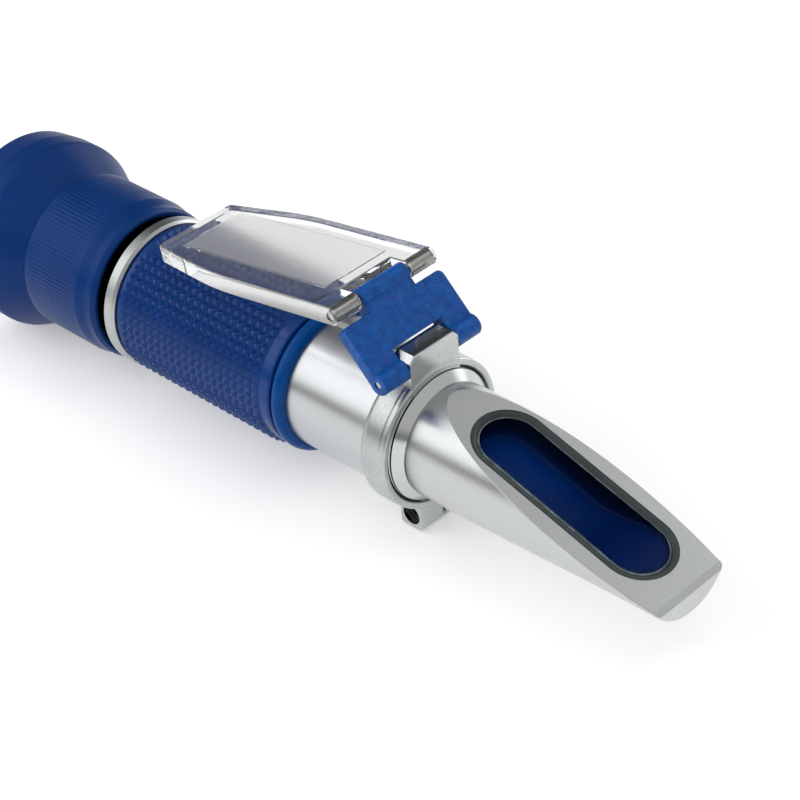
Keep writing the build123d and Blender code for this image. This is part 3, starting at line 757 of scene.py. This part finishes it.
# Each piece with the body it rides on, the node it replaces and its material slot
stand_ins = [
    (make_grip(), "barrel", "grip_sleeve", "grip_rubber"),
    (make_bead(), "barrel", "front_bead", "bead_rubber"),
    (make_seal(), "barrel", "prism_seal", "prism_seal"),
    (make_prism(), "barrel", "main_prism", "prism_glass"),
    (make_prism_top(), "barrel", "main_prism", "prism_glass"),
    (make_prism_edge(), "barrel", "main_prism", "prism_glass"),
    (make_ring_lip(), "barrel", None, "clamp"),
    # A black ring that paints the shade in the groove between clamp ring and head
    (make_ring_groove_shade(), "barrel", None, "black_metal"),
    (bevelled("hinge_link_moulded", "hinge_link", 0.25), "link", "hinge_link", "link_plastic"),
    (make_focus_ring(), "focuser", "focus_ring", "skirt_plastic"),
    (make_eyecup(), "focuser", "eyecup", "eyecup_rubber"),
]
own_finish = {"main_prism_top": prism_top(), "main_prism_edge": ground_glass()}
for piece, body, replaced, slot in stand_ins:
    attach(piece, body)
    if replaced:
        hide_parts(replaced)
    piece.data.materials.append(own_finish.get(piece.name, finish[slot]))

for part in frame["record"]["subparts"]:
    shown = node[part["node"]]
    for mesh_slot in shown.material_slots:
        mesh_slot.material = finish[part["material_slot"]]


# Stage, light and camera

# Directions from the object, and the radius in metres of the dome round it
KEY = Vector((-0.57, -0.58, 0.58)).normalized()
DARK_CARD = Vector((-0.59, 0.55, 0.59)).normalized()
BACKLIGHT = Vector((0.0, 0.93, 0.37)).normalized()
FAR_AND_UP = Vector((0.0, 0.5, 1.0))
DOME = 1.6


def plane(name, corners):
    """A four-cornered sheet from its corners in metres."""
    mesh = bpy.data.meshes.new(name)
    mesh.from_pydata(corners, [], [(0, 1, 2, 3)])
    sheet = bpy.data.objects.new(name, mesh)
    bpy.context.scene.collection.objects.link(sheet)
    return sheet


def is_seen(tree):
    """1 for what the camera sees straight, in a reflection or through glass, otherwise 0."""
    path = add(tree, "ShaderNodeLightPath").outputs
    seen = calc(tree, "MAXIMUM", path["Is Camera Ray"], path["Is Glossy Ray"])
    return calc(tree, "MAXIMUM", seen, path["Is Transmission Ray"])


def white_paper():
    """Matt white paper: lifted to a clean white where it is seen, without lighting the object."""
    material, tree = blank("paper_sweep_white")
    matt = add(tree, "ShaderNodeBsdfDiffuse", {"Color": linear("#f6f6f5")})
    lift = add(tree, "ShaderNodeEmission", {
        "Color": linear("#ffffff"), "Strength": calc(tree, "MULTIPLY", is_seen(tree), 0.3),
    })
    both = add(tree, "ShaderNodeAddShader", {0: matt.outputs[0], 1: lift.outputs[0]})
    add(tree, "ShaderNodeOutputMaterial", {"Surface": both.outputs[0]})
    return material


def patch(tree, place, direction, start, end, low, high):
    """A patch of the dome about a direction: low outside it and high within.

    start and end are the dot products, of that direction and the one from the object to the
    dome, at which the patch's soft edge begins and ends.
    """
    toward = dot(tree, place, direction / DOME)
    return ramp(tree, toward, start, end, low, high, interpolation_type="SMOOTHSTEP")


def studio_cloth():
    """The studio as reflections see it: brightness = softbox + sky * card + backlight.

    The sky darkens towards the horizon and the viewer, and the card darkens a patch of it;
    together they give the tube its bands. The backlight puts a glint on the far edges.
    """
    material, tree = blank("studio_cloth_grey")
    place = own_place(tree)
    key = patch(tree, place, KEY, 0.88, 0.95, 0.0, 1.15)
    sky = patch(tree, place, FAR_AND_UP, -0.35, 0.05, 0.04, 0.64)
    card = patch(tree, place, DARK_CARD, 0.83, 0.95, 1.0, 0.08)
    backlight = patch(tree, place, BACKLIGHT, 0.90, 0.97, 0.0, 2.2)
    level = calc(tree, "ADD", key, calc(tree, "MULTIPLY", sky, card))
    light = add(tree, "ShaderNodeEmission", {"Strength": calc(tree, "ADD", level, backlight)})
    add(tree, "ShaderNodeOutputMaterial", {"Surface": light.outputs[0]})
    return material


def make_dome():
    """A dome round the table that only reflections and the clear pieces see."""
    rise = np.linspace(0.001, np.pi / 2 - 0.02, 24)[:, None]
    turn = (np.arange(64) * 2 * np.pi / 64)[None]
    grid = DOME / MM * np.stack([
        np.cos(rise) * np.cos(turn), np.cos(rise) * np.sin(turn), np.sin(rise) + 0 * turn,
    ], -1)
    dome = skin("studio_dome", grid, closed=(False, True))
    dome.visible_camera = False
    dome.visible_diffuse = False
    dome.visible_volume_scatter = False
    dome.visible_shadow = False
    return dome


def white_world():
    """White where it is seen; the object gets 0.6 of that as soft light from all round."""
    world = bpy.data.worlds.new("studio")
    world.use_nodes = True
    tree = world.node_tree
    tree.nodes.clear()
    sky = add(tree, "ShaderNodeBackground", {
        "Color": linear("#ffffff"), "Strength": mixed(tree, is_seen(tree), 0.6, 1.0),
    })
    add(tree, "ShaderNodeOutputWorld", {"Surface": sky.outputs[0]})
    return world


def softbox(name, place, size, brightness):
    """A square softbox at place, in metres, turned to the object.

    The lamp's power is the brightness of its front times pi times its area. The dome draws its
    reflection, so the lamp itself stays out of reflections.
    """
    lamp = bpy.data.lights.new(name, "AREA")
    lamp.size = size
    lamp.energy = brightness * np.pi * size ** 2
    box = bpy.data.objects.new(name, lamp)
    box.location = place
    box.rotation_euler = Vector(place).to_track_quat("Z", "Y").to_euler()
    box.visible_glossy = False
    bpy.context.scene.collection.objects.link(box)


floor = plane("floor", [(-6, -6, 0), (6, -6, 0), (6, 6, 0), (-6, 6, 0)])
floor.data.materials.append(white_paper())
make_dome().data.materials.append(studio_cloth())
bpy.context.scene.world = white_world()
softbox("softbox_rear", KEY * 0.95, 0.8, 1.6)
softbox("softbox_top", Vector((0.2, 0.2, 1.1)), 0.8, 0.8)
softbox("softbox_front", Vector((0.55, -0.7, 0.5)), 0.7, 0.6)

# The photograph's camera: a 108 mm lens, its right and up directions and its place in metres
lens = bpy.data.cameras.new("camera")
lens.sensor_width = 36.0
lens.lens = 108.0
camera = bpy.data.objects.new("camera", lens)
right = Vector((0.71498, 0.69560, -0.07038))
up = Vector((-0.37147, 0.46323, 0.80463))
aim = Matrix((right, up, right.cross(up))).transposed().to_4x4()
aim.translation = (0.27916, -0.23953, 0.28033)
camera.matrix_world = aim
bpy.context.scene.collection.objects.link(camera)
bpy.context.scene.camera = camera
bpy.context.scene.view_settings.view_transform = "Standard"
